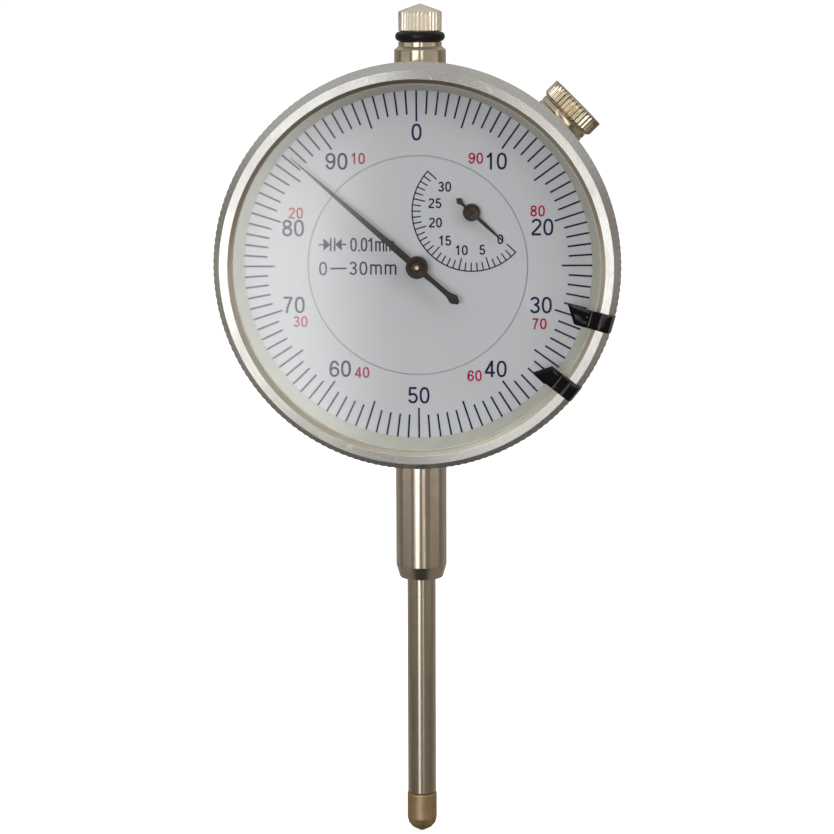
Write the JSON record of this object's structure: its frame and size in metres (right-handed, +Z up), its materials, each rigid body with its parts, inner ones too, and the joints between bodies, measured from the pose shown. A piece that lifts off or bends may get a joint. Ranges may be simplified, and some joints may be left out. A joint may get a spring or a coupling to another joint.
{
  "type": "dial indicator",
  "caption": "Plunger dial indicator with a turning bezel, revolution counter, tolerance markers, bezel clamp screw and a lug back.",
  "frame": {"origin": "on the stem axis, half way down the exposed 8 mm stem", "axes": "+Z up the stem towards the lifting knob, the dial faces -Y, +X to the right as the dial is read"},
  "size_m": [0.062, 0.032, 0.1321],
  "materials": {
    "satin_nickel": "satin nickel plate, slightly warm",
    "ground_steel": "ground and polished steel",
    "dark_steel": "hardened steel, darker",
    "carbide": "polished carbide",
    "case_aluminium": "die-cast, painted silver",
    "brass": "machined",
    "dial_paint": "pale blue-grey satin paint with dark blue and red print",
    "gasket": "grey-green moulded ring",
    "crystal": "clear and flat",
    "pointer_black": "black enamel",
    "gloss_black": "glossy black",
    "o_ring_rubber": "black"
  },
  "bodies": {
    "body_case": {"case": "case_aluminium", "rear_cover": "case_aluminium", "rear_cover_screw_1": "ground_steel", "rear_cover_screw_2": "ground_steel", "rear_cover_screw_3": "ground_steel", "rear_cover_screw_4": "ground_steel", "stem": "ground_steel", "lower_guide_bush": "brass", "upper_sleeve": "satin_nickel", "upper_guide_bush": "brass", "movement_front_plate": "brass", "movement_main_plate": "brass", "plate_pillar_1": "brass", "plate_pillar_2": "brass", "plate_pillar_3": "brass", "plate_pillar_4": "brass", "plate_screw_1": "ground_steel", "plate_screw_2": "ground_steel", "plate_screw_3": "ground_steel", "plate_screw_4": "ground_steel", "guide_plate": "ground_steel", "spring_post": "ground_steel", "return_spring": "ground_steel", "hairspring": "dark_steel", "hairspring_stud": "brass", "inner_dial": "dial_paint", "clamp_bush": "satin_nickel"},
    "body_bezel": {"bezel": "satin_nickel", "crystal": "crystal", "scale_ring": "dial_paint", "spacer_ring": "gasket"},
    "body_marker_upper": {"tolerance_marker_upper": "gloss_black"},
    "body_marker_lower": {"tolerance_marker_lower": "gloss_black"},
    "body_plunger": {"plunger": "ground_steel", "contact_point": "dark_steel", "contact_ball": "carbide", "lifting_knob": "satin_nickel", "knob_o_ring": "o_ring_rubber", "guide_pin": "ground_steel"},
    "body_rack_arbor": {"rack_arbor": "ground_steel", "rack_wheel": "brass", "counter_pinion": "brass"},
    "body_centre_arbor": {"centre_arbor": "brass", "main_pointer": "pointer_black", "pointer_cap": "brass"},
    "body_hairspring_arbor": {"hairspring_arbor": "ground_steel", "hairspring_wheel": "brass"},
    "body_counter_arbor": {"counter_arbor": "ground_steel", "counter_wheel": "brass", "small_pointer": "pointer_black"},
    "body_clamp_shoe": {"clamp_shoe": "satin_nickel"},
    "body_clamp_screw": {"clamp_screw": "satin_nickel"}
  },
  "joints": [
    {"name": "plunger_slide", "type": "slide", "parent": "body_case", "child": "body_plunger", "axis": [0, 0, 1], "range_m": [0, 0.03], "stiffness_N_per_m": 30, "springref_m": -0.02, "deforming": ["return_spring"]},
    {"name": "rack_arbor_turn", "type": "hinge", "parent": "body_case", "child": "body_rack_arbor", "pos_m": [-0.00337, -0.009, 0.0509], "axis": [0, 1, 0], "range_deg": [-1085, 5]},
    {"name": "centre_arbor_turn", "type": "hinge", "parent": "body_case", "child": "body_centre_arbor", "pos_m": [0, -0.009, 0.0405], "axis": [0, 1, 0], "range_deg": [-20, 10820]},
    {"name": "hairspring_arbor_turn", "type": "hinge", "parent": "body_case", "child": "body_hairspring_arbor", "pos_m": [0.0077, -0.009, 0.0328], "axis": [0, 1, 0], "range_deg": [-1085, 5]},
    {"name": "counter_arbor_turn", "type": "hinge", "parent": "body_case", "child": "body_counter_arbor", "pos_m": [0.00825, -0.009, 0.04878], "axis": [0, 1, 0], "range_deg": [-2, 182]},
    {"name": "bezel_turn", "type": "hinge", "parent": "body_case", "child": "body_bezel", "pos_m": [0, -0.009, 0.0405], "axis": [0, 1, 0], "continuous": true},
    {"name": "marker_upper_turn", "type": "hinge", "parent": "body_bezel", "child": "body_marker_upper", "pos_m": [0, -0.009, 0.0405], "axis": [0, 1, 0], "range_deg": [-150, 5]},
    {"name": "marker_lower_turn", "type": "hinge", "parent": "body_bezel", "child": "body_marker_lower", "pos_m": [0, -0.009, 0.0405], "axis": [0, 1, 0], "range_deg": [-5, 150]},
    {"name": "clamp_screw_turn", "type": "hinge", "parent": "body_clamp_shoe", "child": "body_clamp_screw", "pos_m": [0.02333, 0, 0.06384], "axis": [0.7071, 0, 0.7071], "range_deg": [-5, 725]},
    {"name": "clamp_shoe_slide", "type": "slide", "parent": "body_case", "child": "body_clamp_shoe", "axis": [0.7071, 0, 0.7071], "range_m": [0, 0.001]}
  ],
  "couplings": [
    {"joint": "rack_arbor_turn", "follows": "plunger_slide", "rad_per_m": -628.32},
    {"joint": "centre_arbor_turn", "follows": "plunger_slide", "rad_per_m": 6283.2},
    {"joint": "hairspring_arbor_turn", "follows": "plunger_slide", "rad_per_m": -628.32},
    {"joint": "counter_arbor_turn", "follows": "plunger_slide", "rad_per_m": 104.72},
    {"joint": "clamp_screw_turn", "follows": "clamp_shoe_slide", "rad_per_m": 12566}
  ]
}
